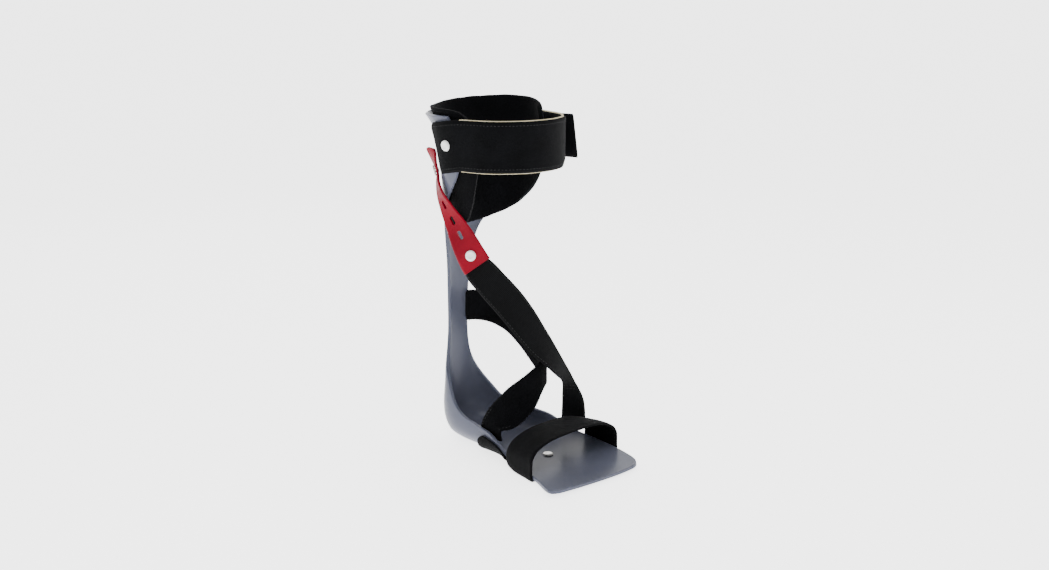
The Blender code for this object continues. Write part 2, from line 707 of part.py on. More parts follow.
def build_pull_tab(collection, material):
    """Free end of the strap: leaves the strap's outside on the far side and points forward."""
    rows = []
    for i in range(9):
        share = i / 8
        row = []
        for level in range(4):
            up = 251.0 + 37.5 * level / 3
            root = strap_point(256.0, up, STRAP_BUILD_UP + GAP + 1.1)
            end = np.array([61.5, 87.0 - 6.0 * level / 3, up])
            bow = np.array([1.2, 0.0, 0.0]) * math.sin(math.pi * share)
            row.append(root + (end - root) * share + bow)
        rows.append(row)
    tab = grid_object("calf_pull_tab", rows, collection, material)
    thicken(tab, 2.0, 0)
    return tab


def add_box(mesh, length, width, low, high):
    """Block along Y on the axis, between two heights."""
    size = Matrix.Diagonal((width * MM, length * MM, (high - low) * MM, 1))
    bmesh.ops.create_cube(mesh, size=1,
                          matrix=Matrix.Translation((0, 0, (low + high) * MM / 2)) @ size)


def build_button(collection, cutters, material):
    """T-shaped button on the back of the calf: a shank and a bar along the strap's slot."""
    frame = strap_frame(TENSION_STATIONS, BUTTON_SHARE, 0.0)
    foot = -(STRAP_THICKNESS / 2 + 0.45)
    button = low_cylinder("strap_button", frame @ Matrix.Translation((0, 0, foot * MM)), 2.0,
                          BUTTON_BAR_LOW + 1.0 - foot, 0, collection, material)
    mesh = bmesh.new()
    add_box(mesh, BUTTON_BAR_LENGTH, BUTTON_BAR_WIDTH, BUTTON_BAR_LOW, BUTTON_BAR_LOW + 1.6)
    data = bpy.data.meshes.new("button_bar")
    mesh.to_mesh(data)
    mesh.free()
    bar = bpy.data.objects.new("button_bar", data)
    bar.matrix_world = frame
    bar.hide_render = True
    bar.display_type = "WIRE"
    round_edges(bar, 0.7)
    cutters.objects.link(bar)
    union = button.modifiers.new("bar", "BOOLEAN")
    union.operation = "UNION"
    union.solver = "EXACT"
    union.object = bar


def forefoot_loop(forward):
    """Closed path of the forefoot strap's middle surface at a place along the foot."""
    run = run_at_forward(forward)
    section = Section(*SHELL.at(run))
    margin = GAP + WEB_THICKNESS / 2 + 0.6
    near = shell_offset(run, -section.turn_near, SHELL_THICKNESS)[0] - margin
    far = shell_offset(run, section.turn_far, SHELL_THICKNESS)[0] + margin
    share = smooth_step(forward, 104.0, 150.0)
    waist = 12.0
    crown = 31.0 + 1.5 * share - waist
    centre, half = (near + far) / 2, (far - near) / 2
    floor = WEB_THICKNESS / 2
    points = []
    for i in range(1, 24):
        turn = math.pi * i / 24
        power = 2.0 / (2.4 + 0.6 * share)
        points.append((centre - half * signed_power(math.cos(turn), power),
                       waist + crown * signed_power(math.sin(turn), power)))
    square = smooth_step(forward, 102.0, 122.0)
    width = 12.0 - 6.5 * square
    height = (waist - floor) * (1 - 0.55 * square)
    bow = 0.85 - 0.25 * square
    for i in range(7):
        turn = math.pi / 2 * i / 6
        points.append((far - width + width * math.cos(turn) ** bow,
                       floor + height - height * math.sin(turn) ** bow))
    for i in range(1, 6):
        points.append((far - width + (near - far + 2 * width) * i / 6, floor))
    for i in range(7):
        turn = math.pi / 2 * (1 - i / 6)
        points.append((near + width - width * math.cos(turn) ** bow,
                       floor + height - height * math.sin(turn) ** bow))
    return [np.array([across, forward, up]) for across, up in points]


def build_forefoot_strap(collection, material):
    """Loop over the forefoot and under the sole."""
    rows = [forefoot_loop(108.0 + 38.0 * r / 8) for r in range(9)]
    strap = grid_object("forefoot_strap", rows, collection, material, cyclic=True)
    thicken(strap, WEB_THICKNESS, 0)
    return strap


def tail_sides(run):
    """The tail covers the near wall below the rim, with a round rear end."""
    forward = SHELL.at(run)[0]
    share = min(max((forward - 57.0) / 7.0, 0.0), 1.0)
    round_share = math.sqrt(1 - (1 - share) ** 2)
    return -70.0 - 15.0 * round_share, -68.0 + 40.0 * round_share


def build_tail(collection, material):
    """Rear tail of the forefoot strap on the outside of the near wall."""
    rear, front = run_at_forward(57.2), run_at_forward(106.8)
    runs = rear + (front - rear) * np.linspace(0.0, 1.0, 18) ** 1.7
    shell_patch("forefoot_strap_tail", runs, tail_sides, SHELL_THICKNESS + 2 * GAP,
                WEB_THICKNESS, collection, material)


def build_instep_straps(collection, material):
    """Ankle strap: far part from the leaf, near part that hinges at the near rim."""
    far = grid_object("instep_strap_far",
                      round_end(ribbon_surface(INSTEP_FAR_STATIONS, 30, 3), 2.0, 0.82),
                      collection, material)
    thicken(far, STRAP_THICKNESS, 0)
    near = grid_object("instep_strap_near", ribbon_surface(INSTEP_NEAR_STATIONS, 22, 4),
                       collection, material)
    thicken(near, STRAP_THICKNESS, 0)
    runs = np.linspace(run_at_forward(50.0), run_at_forward(80.0), 8)
    shell_patch("instep_anchor", runs, lambda run: (-88.0, -62.0), -GAP - STRAP_THICKNESS,
                STRAP_THICKNESS, collection, material)


def build_rein(collection, material):
    ribbon("rein", REIN_STATIONS, 44, 4, STRAP_THICKNESS, collection, material)
    ribbon("rein_branch", BRANCH_STATIONS, 8, 3, STRAP_THICKNESS, collection, material)


def build_strap_rivets(collection, white, steel):
    head = strap_frame(TENSION_STATIONS, RIVET_SHARE, STRAP_THICKNESS / 2 + GAP)
    low_cylinder("rein_rivet_head", head, RIVET_RADIUS, RIVET_HEIGHT, 0.8, collection, white)
    back = strap_frame(TENSION_STATIONS, RIVET_SHARE, 0.0)
    drop = STRAP_THICKNESS * 1.5 + 3 * GAP + 2.4
    back.translation = back.translation - back.to_3x3().col[2] * drop * MM
    low_cylinder("rein_rivet_washer", back, RIVET_RADIUS, 1.0, 0, collection, white)
    plate = oriented(place(-4.0, 116.9, 4.9 + GAP), Vector((0, 0, 1)), Vector((0, 1, 0)))
    low_cylinder("plate_rivet_head", plate, RIVET_RADIUS, 1.4, 0.6, collection, steel)


def build_leaf_rivets(collection, material):
    """Two heads behind the leaf that hold the ankle strap's far part."""
    for name, up in (("leaf_rivet_lower", 107.0), ("leaf_rivet_upper", 122.0)):
        run = run_at_height(up)
        point = shell_offset(run, 40.0, SHELL_THICKNESS + GAP)
        inside = shell_inside(run, 40.0)
        frame = oriented(place(*point), aim(*(point - inside)), Vector((0, 0, 1)))
        low_cylinder(name, frame, 3.5, 1.6, 0.5, collection, material)


def main():
    clear_scene()
    parts = new_collection("ankle_foot_orthosis")
    cutters = new_collection("cutters")
    materials = {name: make_material(name) for name in COLOURS}
    build_shell(parts, materials["shell_plastic"])
    build_liner(parts, materials["liner_fabric"])
    build_calf_strap(parts, materials["strap_fabric"], materials["foam"])
    build_hook_patch(parts, materials["hook_tape"])
    build_pull_tab(parts, materials["strap_fabric"])
    build_calf_rivet(parts, materials["rivet_white"])
    build_tension_strap(parts, cutters, materials["tension_rubber"])
    build_button(parts, cutters, materials["rivet_steel"])
    build_rein(parts, materials["rein_webbing"])
    build_forefoot_strap(parts, materials["strap_fabric"])
    build_tail(parts, materials["strap_fabric"])
    build_instep_straps(parts, materials["strap_fabric"])
    build_strap_rivets(parts, materials["rivet_white"], materials["rivet_steel"])
    build_leaf_rivets(parts, materials["rivet_white"])


main()
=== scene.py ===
"""Looks of the ankle foot orthosis: every piece is built around its CAD solids.

Lengths are metres unless a comment says otherwise: +Z up, toes toward -Y, the near (inner) side at
-X. Strap stations are (centre, direction across, width) in millimetres, with the centre measured
across the foot, forward from the heel and up.
"""
import math
import random

import bmesh
import bpy
import numpy as np
from mathutils import Matrix, Vector, noise
from mathutils.bvhtree import BVHTree


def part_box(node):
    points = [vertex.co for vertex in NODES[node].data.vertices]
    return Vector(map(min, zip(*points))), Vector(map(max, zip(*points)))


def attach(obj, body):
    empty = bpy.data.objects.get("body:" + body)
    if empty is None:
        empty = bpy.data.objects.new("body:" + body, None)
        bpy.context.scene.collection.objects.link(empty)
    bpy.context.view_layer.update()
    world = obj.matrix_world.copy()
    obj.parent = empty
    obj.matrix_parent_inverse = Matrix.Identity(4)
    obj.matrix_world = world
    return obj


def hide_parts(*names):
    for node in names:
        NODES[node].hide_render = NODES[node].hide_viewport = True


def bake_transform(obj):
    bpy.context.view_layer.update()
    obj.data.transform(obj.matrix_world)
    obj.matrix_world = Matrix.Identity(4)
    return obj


MM = 0.001
ROOT = "orthosis_frame"
HEEL = 0.086                      # Y of the heel's inside, from which strap stations run forward
LEG_AXIS_Y = HEEL - 0.045

# ---------------------------------------------------------------- studio

WORLD_DIM, WORLD_BRIGHT = 0.30, 2.5
FLOOR_GLOW = 2.8
FLOOR_SIZE = 60.0

# ---------------------------------------------------------------- calf strap and its pull tab

STRAP_AXIS_Y = 0.036
STRAP_BOTTOM, STRAP_TOP = 247.0, 290.5        # heights in mm on the near side
STRAP_REAR, STRAP_FAR = 60.0, 268.0           # angles about the upright axis, from the rear
ROOT_END, FOAM_START = 99.0, 97.0             # angles where the riveted root ends and the foam starts
REAR_DROP, DROP_FROM, DROP_TO = 5.0, 60.0, 104.0    # mm the riveted end hangs lower; its angles
FAR_RISE, RISE_FROM, RISE_TO = 6.0, 206.0, 232.0    # mm the lower edge climbs at the far end; its angles
REAR_SLANT, REAR_CORNER = 13.0, 4.0           # degrees the riveted end is cut back at its bottom and top
STRAP_BUILD_UP = 0.0043                       # outside face over inside face
# layers as (depth of the middle over the inside face, thickness, inset along both edges)
LINING_LAYER = (0.0006, 0.0012, 0.0008)
FOAM_LAYER = (0.0021, 0.0020, 0.0)
ROOT_LAYER = (0.0021, 0.0036, 0.0)
FACE_LAYER = (0.0036, 0.0014, 0.0006)
TAB_ANGLE = 256.0                             # where the tab leaves the strap
TAB_BOTTOM, TAB_HEIGHT = 251.0, 37.5          # mm
TAB_TIP_X = 0.0615
TAB_REACH, TAB_SLANT = 87.0, 6.0              # mm forward of the heel, and less of it at the top
TAB_GAP = 0.0012
TAB_BOW = Vector((0.0012, 0.0, 0.0))

# ---------------------------------------------------------------- fabric and thread

WEBBING_THICKNESS = 0.0024
LOOP_THICKNESS = 0.0018
TAB_THICKNESS = 0.0020
# height of the thread over the middle surface of each strap
WEBBING_THREAD, FACE_THREAD, TAB_THREAD, LOOP_THREAD = 0.00118, 0.00072, 0.00105, 0.00088
THREAD_PITCH, THREAD_LENGTH, THREAD_RADIUS = 0.0030, 0.0021, 0.00028
# loose threads as (count, greatest length, radius)
END_FIBRES = (90, 0.0022, 0.00012)
EDGE_FIBRES = (150, 0.0014, 0.00010)
FIBRE_LEAN, FIBRE_LIFT, FIBRE_CURL, FIBRE_TAPER = 0.7, 0.6, 0.35, 0.7

# ---------------------------------------------------------------- where the straps bend

CALF_BEND = ((-0.0550, 0.0267, 0.268), (-0.0450, 0.0167, 0.268))
TAB_BEND = ((0.054, 0.0235, 0.270), (0.056, 0.0150, 0.270))
ANKLE_BEND = ((-0.0302, 0.0115, 0.020), (-0.0302, 0.0115, 0.030))

# ---------------------------------------------------------------- stations of the free straps

TENSION = (((-35.9, 6.3, 261.0), (-0.18, 0.98, 0.0), 16.5),
           ((-35.5, 10.1, 250.5), (-0.50, 0.86, 0.02), 16.0),
           ((-35.8, 14.8, 241.0), (-0.66, 0.75, 0.05), 16.5),
           ((-39.4, 19.2, 233.5), (-0.58, 0.81, 0.08), 17.5),
           ((-41.9, 24.6, 225.0), (-0.42, 0.88, 0.15), 17.5),
           ((-41.0, 31.5, 213.0), (-0.06, 0.95, 0.30), 17.0),
           ((-38.8, 38.5, 201.0), (0.28, 0.81, 0.47), 19.0),
           ((-36.0, 47.8, 184.5), (0.50, 0.67, 0.55), 23.5),
           ((-33.9, 54.5, 173.0), (0.52, 0.64, 0.56), 25.5),
           ((-32.0, 59.5, 165.0), (0.57, 0.59, 0.57), 26.0))
REIN = (((-33.3, 46.8, 178.5), (0.454, 0.682, 0.572), 13.0),
        ((-31.5, 50.9, 172.0), (0.454, 0.682, 0.572), 17.0),
        ((-28.7, 57.6, 162.5), (0.52, 0.62, 0.58), 25.5),
        ((-23.5, 68.5, 150.0), (0.64, 0.46, 0.60), 27.0),
        ((-14.8, 81.0, 133.5), (0.71, 0.28, 0.65), 28.0),
        ((-6.7, 91.2, 117.0), (0.74, 0.10, 0.66), 28.0),
        ((1.6, 99.0, 101.0), (0.76, -0.08, 0.64), 27.0),
        ((10.6, 105.1, 87.0), (0.86, -0.22, 0.40), 24.0),
        ((20.3, 109.5, 72.4), (0.93, -0.26, 0.10), 20.5),
        ((28.4, 108.9, 63.0), (0.95, 0.02, -0.12), 15.5),
        ((34.6, 106.8, 55.0), (0.86, 0.44, -0.20), 15.5),
        ((38.6, 105.2, 47.0), (0.76, 0.63, -0.12), 18.0))
BRANCH = (((40.9, 104.3, 40.0), (0.71, 0.69, -0.02), 19.5),
          ((41.8, 103.9, 33.0), (0.70, 0.68, 0.06), 20.5),
          ((41.9, 104.0, 23.0), (0.70, 0.64, 0.14), 21.5))
ANKLE_FAR = (((6.4, 4.0, 115.0), (0, 0, 1), 28.0),
             ((14.5, 7.0, 114.5), (0, 0.05, 1), 28.0),
             ((27.0, 17.0, 111.0), (0, 0.15, 1), 28.0),
             ((35.0, 30.0, 103.5), (0, 0.35, 1), 28.0),
             ((37.0, 46.0, 92.5), (0, 0.40, 1), 28.0),
             ((34.5, 62.0, 81.5), (0, 0.35, 1), 27.0),
             ((29.0, 76.0, 73.5), (0, 0.15, 1), 26.0),
             ((21.0, 86.0, 69.0), (0, 0.05, 1), 24.0),
             ((13.5, 87.3, 65.5), (0, 0.05, 1), 21.0))
ANKLE_NEAR = (((-30.2, 75.5, 16.0), (0, -1, 0), 24.0),
              ((-30.2, 74.5, 25.0), (0, -1, 0), 25.0),
              ((-26.5, 77.5, 30.5), (-0.08, -0.92, 0.38), 27.0),
              ((-20.0, 82.0, 37.0), (-0.20, -0.72, 0.66), 29.0),
              ((-10.0, 87.0, 46.5), (-0.28, -0.50, 0.82), 30.0),
              ((1.0, 90.5, 55.0), (-0.25, -0.30, 0.92), 28.0),
              ((12.0, 91.5, 64.0), (-0.12, -0.10, 0.98), 25.0),
              ((20.5, 90.5, 68.0), (0, 0, 1), 22.0))
REIN_SEAM = 178                   # row of the rein where its branch is sewn on
LOOP_CENTRE_UP = 0.021            # height of the middle of the forefoot loop
LOOP_REACH = 0.12                 # more than the loop's radius on any side
LOOP_MARGIN = 0.0015              # its thickness is measured no closer to its edges

# ---------------------------------------------------------------- slots and rivets

# slots of the tension strap as (share of its length, slot length, slot width)
SLOTS = ((0.175, 0.0135, 0.0062), (0.47, 0.0080, 0.0034), (0.605, 0.0080, 0.0034),
         (0.73, 0.0080, 0.0034))
SLOT_DEPTH = 0.012
# shares of a rivet head's radius and height, from the middle of its base over its rim to its dish
RIVET_PROFILE = ((0.0, 0.0), (0.97, 0.0), (1.0, 0.15), (1.0, 0.45), (0.93, 0.78), (0.78, 0.97),
                 (0.62, 1.0), (0.50, 0.93), (0.38, 0.80), (0.18, 0.76), (0.0, 0.75))
# rivets as (CAD node, name, direction its head faces, slot)
RIVETS = (("calf_rivet_head", "calf_rivet", (-1, 0, 0), "rivet_white"),
          ("rein_rivet_head", "rein_rivet", (-1, -0.3, 0), "rivet_white"),
          ("plate_rivet_head", "plate_rivet", (0, 0, 1), "rivet_steel"),
          ("leaf_rivet_lower", "leaf_rivet_low", (0, -1, 0), "rivet_white"),
          ("leaf_rivet_upper", "leaf_rivet_high", (0, -1, 0), "rivet_white"))

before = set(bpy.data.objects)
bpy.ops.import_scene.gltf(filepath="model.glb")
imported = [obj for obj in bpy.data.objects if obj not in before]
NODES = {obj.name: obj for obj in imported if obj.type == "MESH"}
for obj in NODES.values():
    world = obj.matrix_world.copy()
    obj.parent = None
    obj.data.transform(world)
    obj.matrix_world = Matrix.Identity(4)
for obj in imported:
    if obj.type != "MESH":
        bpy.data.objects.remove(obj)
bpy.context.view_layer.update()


# ---------------------------------------------------------------- camera, light, floor

def place_camera():
    """Three-quarter view from the near side and the toes."""
    data = bpy.data.cameras.new("camera")
    data.lens = 47.46
    data.sensor_width = 36.0
    data.shift_x = 0.0243
    data.shift_y = 0.0029
    camera = bpy.data.objects.new("camera", data)
    bpy.context.scene.collection.objects.link(camera)
    camera.location = (-0.8185, -0.7999, 0.4161)
    target = Vector((0.0, 0.033, 0.140))
    camera.rotation_euler = (target - camera.location).to_track_quat("-Z", "Y").to_euler()
    bpy.context.scene.camera = camera


def area_light(name, location, target, size, power, colour=(1, 1, 1)):
    data = bpy.data.lights.new(name, "AREA")
    data.shape = "RECTANGLE"
    data.size, data.size_y = size
    data.energy = power
    data.color = colour
    light = bpy.data.objects.new(name, data)
    bpy.context.scene.collection.objects.link(light)
    light.location = location
    aim = Vector(target) - Vector(location)
    light.rotation_euler = aim.to_track_quat("-Z", "Y").to_euler()


def place_lights():
    middle = (0, 0, 0.14)
    area_light("key_softbox", (-0.75, -0.55, 0.95), middle, (0.7, 0.7), 9.0)
    area_light("side_strip", (0.85, -0.45, 0.55), middle, (0.25, 1.0), 2.0)
    area_light("back_softbox", (0.35, 1.0, 0.75), middle, (0.8, 0.8), 2.0)
    area_light("overhead", (0, 0, 1.25), middle, (1.2, 1.2), 5.5)
    bpy.context.scene.world = studio_world()


def studio_world():
    """White studio: bright behind the object, dim on the side the camera stands."""
    world = bpy.data.worlds.new("studio")
    world.use_nodes = True
    nodes, links = world.node_tree.nodes, world.node_tree.links
    direction = nodes.new("ShaderNodeTexCoord")
    facing = nodes.new("ShaderNodeVectorMath")
    facing.operation = "DOT_PRODUCT"
    facing.inputs[1].default_value = (0.70, 0.71, 0.0)
    strength = nodes.new("ShaderNodeMapRange")
    strength.interpolation_type = "SMOOTHSTEP"
    strength.inputs["From Min"].default_value = 0.1
    strength.inputs["From Max"].default_value = 0.75
    strength.inputs["To Min"].default_value = WORLD_DIM
    strength.inputs["To Max"].default_value = WORLD_BRIGHT
    background = nodes["Background"]
    background.inputs["Color"].default_value = (1.0, 1.0, 1.0, 1.0)
    links.new(direction.outputs["Generated"], facing.inputs[0])
    links.new(facing.outputs["Value"], strength.inputs["Value"])
    links.new(strength.outputs["Result"], background.inputs["Strength"])
    return world


# ---------------------------------------------------------------- materials

class Shade:
    """A Principled material with helpers for its procedural inputs."""

    def __init__(self, name, roughness, metallic=0.0):
        self.material = bpy.data.materials.new(name)
        self.material.use_nodes = True
        self.nodes = self.material.node_tree.nodes
        self.links = self.material.node_tree.links
        self.shader = self.nodes["Principled BSDF"]
        self.shader.inputs["Roughness"].default_value = roughness
        self.shader.inputs["Metallic"].default_value = metallic
        self.coordinates = self.nodes.new("ShaderNodeTexCoord")

    def set(self, socket, value):
        self.shader.inputs[socket].default_value = value

    def link(self, output, target):
        self.links.new(output, target)

    def noise(self, scale, detail=3.0, space="Object", roughness=0.55):
        node = self.nodes.new("ShaderNodeTexNoise")
        node.inputs["Scale"].default_value = scale
        node.inputs["Detail"].default_value = detail
        node.inputs["Roughness"].default_value = roughness
        self.link(self.coordinates.outputs[space], node.inputs["Vector"])
        return node.outputs["Fac"]

    def wave(self, scale, direction, space="UV", distortion=0.6):
        node = self.nodes.new("ShaderNodeTexWave")
        node.wave_type = "BANDS"
        node.bands_direction = direction
        node.inputs["Scale"].default_value = scale
        node.inputs["Distortion"].default_value = distortion
        node.inputs["Detail"].default_value = 1.0
        self.link(self.coordinates.outputs[space], node.inputs["Vector"])
        return node.outputs["Fac"]

    def voronoi(self, scale, space="Object"):
        node = self.nodes.new("ShaderNodeTexVoronoi")
        node.inputs["Scale"].default_value = scale
        self.link(self.coordinates.outputs[space], node.inputs["Vector"])
        return node.outputs["Distance"]

    def math(self, operation, a, b):
        node = self.nodes.new("ShaderNodeMath")
        node.operation = operation
        for socket, value in zip(node.inputs, (a, b)):
            if isinstance(value, float):
                socket.default_value = value
            else:
                self.link(value, socket)
        return node.outputs["Value"]

    def ramp(self, value, stops):
        node = self.nodes.new("ShaderNodeValToRGB")
        elements = node.color_ramp.elements
        for element, (position, colour) in zip(elements, (stops[0], stops[-1])):
            element.position = position
            element.color = (*colour, 1.0)
        for position, colour in stops[1:-1]:
            elements.new(position).color = (*colour, 1.0)
        self.link(value, node.inputs["Fac"])
        return node.outputs["Color"]

    def colour(self, value, stops):
        self.link(self.ramp(value, stops), self.shader.inputs["Base Color"])

    def rough(self, value, low, high):
        node = self.nodes.new("ShaderNodeMapRange")
        node.inputs["To Min"].default_value = low
        node.inputs["To Max"].default_value = high
        self.link(value, node.inputs["Value"])
        self.link(node.outputs["Result"], self.shader.inputs["Roughness"])

    def bump(self, height, distance, strength=1.0):
        node = self.nodes.new("ShaderNodeBump")
        node.inputs["Distance"].default_value = distance
        node.inputs["Strength"].default_value = strength
        self.link(height, node.inputs["Height"])
        self.link(node.outputs["Normal"], self.shader.inputs["Normal"])


def shell_material():
    """Natural polypropylene: milky blue-grey, glossy, with draping marks from moulding."""
    shade = Shade("moulded_polypropylene", 0.25)
    shade.colour(shade.noise(14.0, 4.0), [(0.30, (0.066, 0.071, 0.098)),
                                          (0.70, (0.086, 0.092, 0.126))])
    shade.rough(shade.noise(60.0, 5.0), 0.24, 0.38)
    ripples = shade.noise(22.0, 2.0)
    grain = shade.noise(900.0, 2.0)
    shade.bump(shade.math("ADD", ripples, shade.math("MULTIPLY", grain, 0.02)), 0.0009, 0.5)
    shade.set("Subsurface Weight", 0.25)
    shade.set("Subsurface Radius", (0.6, 0.7, 1.0))
    shade.set("Subsurface Scale", 0.004)
    shade.set("Coat Weight", 0.04)
    shade.set("Coat Roughness", 0.10)
    shade.set("Specular IOR Level", 0.10)
    shade.set("IOR", 1.49)
    return shade.material


def knit_material(name, dark, light, pitch, sheen):
    """Soft knit or loop fabric: small loops, a brushed nap and faint lighter patches."""
    shade = Shade(name, 0.9)
    loops = shade.voronoi(1.0 / pitch)
    nap = shade.noise(2.6 / pitch, 4.0)
    patches = shade.noise(55.0, 3.0)
    shade.colour(shade.math("ADD", shade.math("MULTIPLY", patches, 0.65),
                            shade.math("MULTIPLY", nap, 0.35)),
                 [(0.32, dark), (0.72, light)])
    shade.bump(shade.math("ADD", loops, shade.math("MULTIPLY", nap, 0.8)), 0.00035, 0.8)
    shade.set("Sheen Weight", sheen)
    shade.set("Sheen Roughness", 0.45)
    shade.set("Specular IOR Level", 0.06)
    return shade.material


def webbing_material(name, dark, light, pitch, sheen):
    """Woven webbing laid along its strap: U runs along the strap and V across it."""
    shade = Shade(name, 0.8)
    bands = 2 * math.pi / (20.0 * pitch)
    weave = shade.math("MULTIPLY", shade.wave(bands, "X"), shade.wave(bands * 0.8, "Y"))
    nap = shade.noise(1500.0, 3.0)
    patches = shade.noise(45.0, 3.0)
    shade.colour(shade.math("ADD", shade.math("MULTIPLY", patches, 0.7),
                            shade.math("MULTIPLY", weave, 0.4)), [(0.30, dark), (0.80, light)])
    shade.bump(shade.math("ADD", weave, shade.math("MULTIPLY", nap, 0.5)), 0.00030, 0.8)
    shade.set("Sheen Weight", sheen)
    shade.set("Sheen Roughness", 0.4)
    shade.set("Specular IOR Level", 0.10)
    return shade.material


def rubber_material():
    """Red strap rubber: satin, a little paler and darker in random patches, with fine wear."""
    shade = Shade("red_strap_rubber", 0.42)
    shade.colour(shade.noise(38.0, 5.0), [(0.30, (0.140, 0.0001, 0.0075)),
                                          (0.62, (0.185, 0.0002, 0.0100)),
                                          (0.85, (0.230, 0.0012, 0.0140))])
    shade.rough(shade.noise(170.0, 4.0), 0.42, 0.62)
    shade.bump(shade.noise(700.0, 3.0), 0.00012, 0.6)
    shade.set("Subsurface Weight", 0.12)
    shade.set("Subsurface Radius", (1.0, 0.2, 0.15))
    shade.set("Subsurface Scale", 0.002)
    shade.set("Specular IOR Level", 0.10)
    return shade.material


def foam_material():
    shade = Shade("cream_foam", 0.85)
    cells = shade.voronoi(1600.0)
    shade.colour(shade.noise(90.0, 4.0), [(0.3, (0.60, 0.52, 0.33)), (0.7, (0.78, 0.70, 0.50))])
    shade.bump(cells, 0.0003, 0.7)
    shade.set("Specular IOR Level", 0.2)
    return shade.material


def plastic_material(name, low, high, roughness):
    """Moulded plastic with a fine texture and scuffs."""
    shade = Shade(name, roughness)
    shade.colour(shade.noise(160.0, 4.0), [(0.3, low), (0.7, high)])
    shade.rough(shade.noise(420.0, 3.0), roughness - 0.08, roughness + 0.12)
    shade.bump(shade.noise(1300.0, 2.0), 0.00008, 0.5)
    return shade.material


def metal_material():
    shade = Shade("nickel_plate", 0.24, 1.0)
    shade.colour(shade.noise(240.0, 3.0), [(0.3, (0.62, 0.61, 0.58)), (0.7, (0.80, 0.79, 0.76))])
    shade.rough(shade.noise(400.0, 3.0), 0.30, 0.42)
    return shade.material


def floor_material():
    shade = Shade("pale_floor", 0.6)
    shade.colour(shade.noise(3.0, 2.0), [(0.3, (0.86, 0.865, 0.87)), (0.7, (0.88, 0.88, 0.88))])
    shade.set("Emission Color", (1.0, 1.0, 1.0, 1.0))
    shade.set("Emission Strength", FLOOR_GLOW)
    return shade.material


# ---------------------------------------------------------------- mesh helpers

def link_mesh(name, mesh, material):
    """Object from a bmesh, smooth shaded."""
    bmesh.ops.recalc_face_normals(mesh, faces=mesh.faces)
    data = bpy.data.meshes.new(name)
    mesh.to_mesh(data)
    mesh.free()
    data.materials.append(material)
    item = bpy.data.objects.new(name, data)
    bpy.context.scene.collection.objects.link(item)
    data.shade_smooth()
    return item


def apply_modifiers(item):
    """Turn the modified shape into the item's own mesh."""
    graph = bpy.context.evaluated_depsgraph_get()
    finished = bpy.data.meshes.new_from_object(item.evaluated_get(graph))
    item.modifiers.clear()
    item.data = finished
    return item


def soften(item, width, segments, bevelled, sharp):
    """Round edges steeper than one angle in degrees; the shading breaks past the other."""
    bevel = item.modifiers.new("soft_edges", "BEVEL")
    bevel.width = width
    bevel.segments = segments
    bevel.limit_method = "ANGLE"
    bevel.angle_limit = math.radians(bevelled)
    apply_modifiers(item)
    item.data.set_sharp_from_angle(angle=math.radians(sharp))


def refined(node, name, material, levels):
    """Smooth, finer mesh with the shape of a CAD node."""
    mesh = bmesh.new()
    mesh.from_mesh(NODES[node].data)
    bmesh.ops.remove_doubles(mesh, verts=mesh.verts, dist=0.00001)
    bmesh.ops.join_triangles(mesh, faces=mesh.faces, angle_face_threshold=math.radians(40),
                             angle_shape_threshold=math.radians(60))
    item = link_mesh(name, mesh, material)
    smooth = item.modifiers.new("smooth", "SUBSURF")
    smooth.levels = levels
    smooth.render_levels = levels
    return apply_modifiers(item)


def ripple(item, amount, size, seed):
    """Move a soft surface in and out by a little low noise."""
    offset = Vector((seed * 0.37, seed * 0.11, seed * 0.53))
    normals = [v.normal.copy() for v in item.data.vertices]
    for vertex, normal in zip(item.data.vertices, normals):
        vertex.co += normal * amount * noise.noise(vertex.co / size + offset)
    item.data.update()
    return item


def join(name, items):
    """One piece from several."""
    with bpy.context.temp_override(active_object=items[0], object=items[0],
                                   selected_objects=items, selected_editable_objects=items):
        bpy.ops.object.join()
    items[0].name = name
    return items[0]


class SmoothTable:
    """A smooth curve through rows of numbers, measured along the given knots."""

    def __init__(self, knots, rows):
        self.knots = np.array(knots, float)
        self.rows = np.array(rows, float)
        steps = np.diff(self.knots)[:, None]
        slopes = np.diff(self.rows, axis=0) / steps
        middle = (slopes[:-1] * steps[1:] + slopes[1:] * steps[:-1]) / (steps[:-1] + steps[1:])
        self.tangents = np.vstack([slopes[:1], middle, slopes[-1:]])

    def at(self, knot):
        i = int(np.clip(np.searchsorted(self.knots, knot) - 1, 0, len(self.knots) - 2))
        span = self.knots[i + 1] - self.knots[i]
        t = (knot - self.knots[i]) / span
        a, b = self.rows[i], self.rows[i + 1]
        ta, tb = self.tangents[i] * span, self.tangents[i + 1] * span
        return (a * (2 * t ** 3 - 3 * t ** 2 + 1) + ta * (t ** 3 - 2 * t ** 2 + t)
                + b * (3 * t ** 2 - 2 * t ** 3) + tb * (t ** 3 - t ** 2))


def smooth_step(value, low, high):
    """0 below low, 1 above high, eased in between."""
    share = min(max((value - low) / (high - low), 0.0), 1.0)
    return share * share * (3 - 2 * share)


def place(across, forward, up):
    """Scene point of a strap station given in millimetres."""
    return Vector((across * MM, HEEL - forward * MM, up * MM))


def ribbon_rows(stations, count, columns):
    """Rows of points across a strap. A station is (centre, direction across, width) in mm."""
    centres = np.array([station[0] for station in stations], float)
    steps = np.linalg.norm(np.diff(centres, axis=0), axis=1)
    knots = np.concatenate([[0.0], np.cumsum(steps)])
    table = SmoothTable(knots, [np.concatenate([s[0], np.array(s[1]) / np.linalg.norm(s[1]),
                                                [s[2]]]) for s in stations])
    rows = []
    for i in range(count + 1):
        value = table.at(knots[-1] * i / count)
        across = value[3:6] / np.linalg.norm(value[3:6])
        rows.append([place(*(value[:3] + across * value[6] * (c / columns - 0.5)))
                     for c in range(columns + 1)])
    return rows


